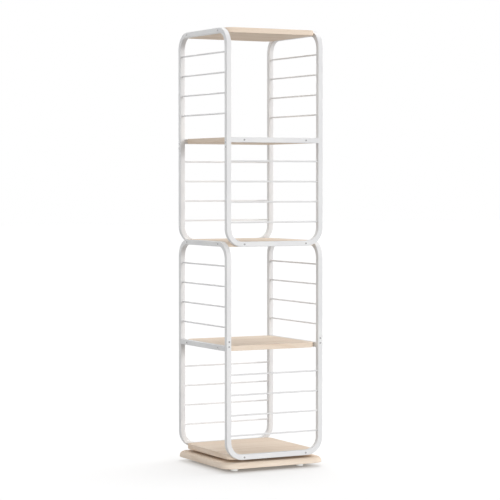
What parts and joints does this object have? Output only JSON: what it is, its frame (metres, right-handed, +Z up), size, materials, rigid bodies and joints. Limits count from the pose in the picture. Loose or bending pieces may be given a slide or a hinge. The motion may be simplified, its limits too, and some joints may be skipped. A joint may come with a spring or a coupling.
{
  "type": "revolving bookcase",
  "caption": "Tall square revolving bookcase: white bent-tube frames with rod sides hold pale oak boards, turning freely on a ball-bearing swivel over a footed base.",
  "frame": {"origin": "on the floor, under the axis that the tower turns about", "axes": "+Z up along the turning axis; -Y towards the front in the picture, +X to the right of it"},
  "size_m": [0.356, 0.356, 1.376],
  "materials": {
    "white_powder_coat": "satin white powder coat with a fine orange peel",
    "oak_board": "matt pale oak decor on board, edges banded to match",
    "white_plastic": "moulded, fine satin",
    "zinc_sheet": "bright zinc plate on pressed sheet",
    "bearing_steel": "polished balls",
    "grey_nylon": "moulded nylon",
    "screw_steel": "dull nickel-plated socket heads"
  },
  "bodies": {
    "base": {"base_board": "oak_board", "base_feet": "white_plastic", "foot_screws": "screw_steel", "swivel_lower_plate": "zinc_sheet", "swivel_rivet": "zinc_sheet", "swivel_base_screws": "screw_steel"},
    "ball_ring": {"swivel_balls": "bearing_steel", "swivel_ball_cage": "grey_nylon"},
    "tower": {"bottom_back_rods": "white_powder_coat", "bottom_back_tube": "white_powder_coat", "bottom_front_rods": "white_powder_coat", "bottom_front_tube": "white_powder_coat", "bottom_shelf": "oak_board", "bottom_shelf_screws": "screw_steel", "lower_joint_screws": "screw_steel", "lower_joint_spigots": "zinc_sheet", "lower_left_bar": "white_powder_coat", "lower_left_rods": "white_powder_coat", "lower_left_tube": "white_powder_coat", "lower_right_bar": "white_powder_coat", "lower_right_rods": "white_powder_coat", "lower_right_tube": "white_powder_coat", "lower_shelf": "oak_board", "lower_shelf_screws": "screw_steel", "middle_shelf": "oak_board", "middle_shelf_screws": "screw_steel", "swivel_shelf_screws": "screw_steel", "swivel_upper_plate": "zinc_sheet", "top_board": "oak_board", "top_board_screws": "screw_steel", "top_left_rods": "white_powder_coat", "top_left_tube": "white_powder_coat", "top_right_rods": "white_powder_coat", "top_right_tube": "white_powder_coat", "upper_back_bar": "white_powder_coat", "upper_back_rods": "white_powder_coat", "upper_back_tube": "white_powder_coat", "upper_front_bar": "white_powder_coat", "upper_front_rods": "white_powder_coat", "upper_front_tube": "white_powder_coat", "upper_joint_screws": "screw_steel", "upper_joint_spigots": "zinc_sheet", "upper_shelf": "oak_board", "upper_shelf_screws": "screw_steel"}
  },
  "joints": [
    {"name": "tower_spin", "type": "hinge", "parent": "base", "child": "tower", "pos_m": [0, 0, 0.04], "axis": [0, 0, 1], "continuous": true},
    {"name": "ball_ring_spin", "type": "hinge", "parent": "base", "child": "ball_ring", "pos_m": [0, 0, 0.036], "axis": [0, 0, 1], "continuous": true}
  ],
  "couplings": [
    {"joint": "ball_ring_spin", "follows": "tower_spin", "ratio": 0.5}
  ]
}
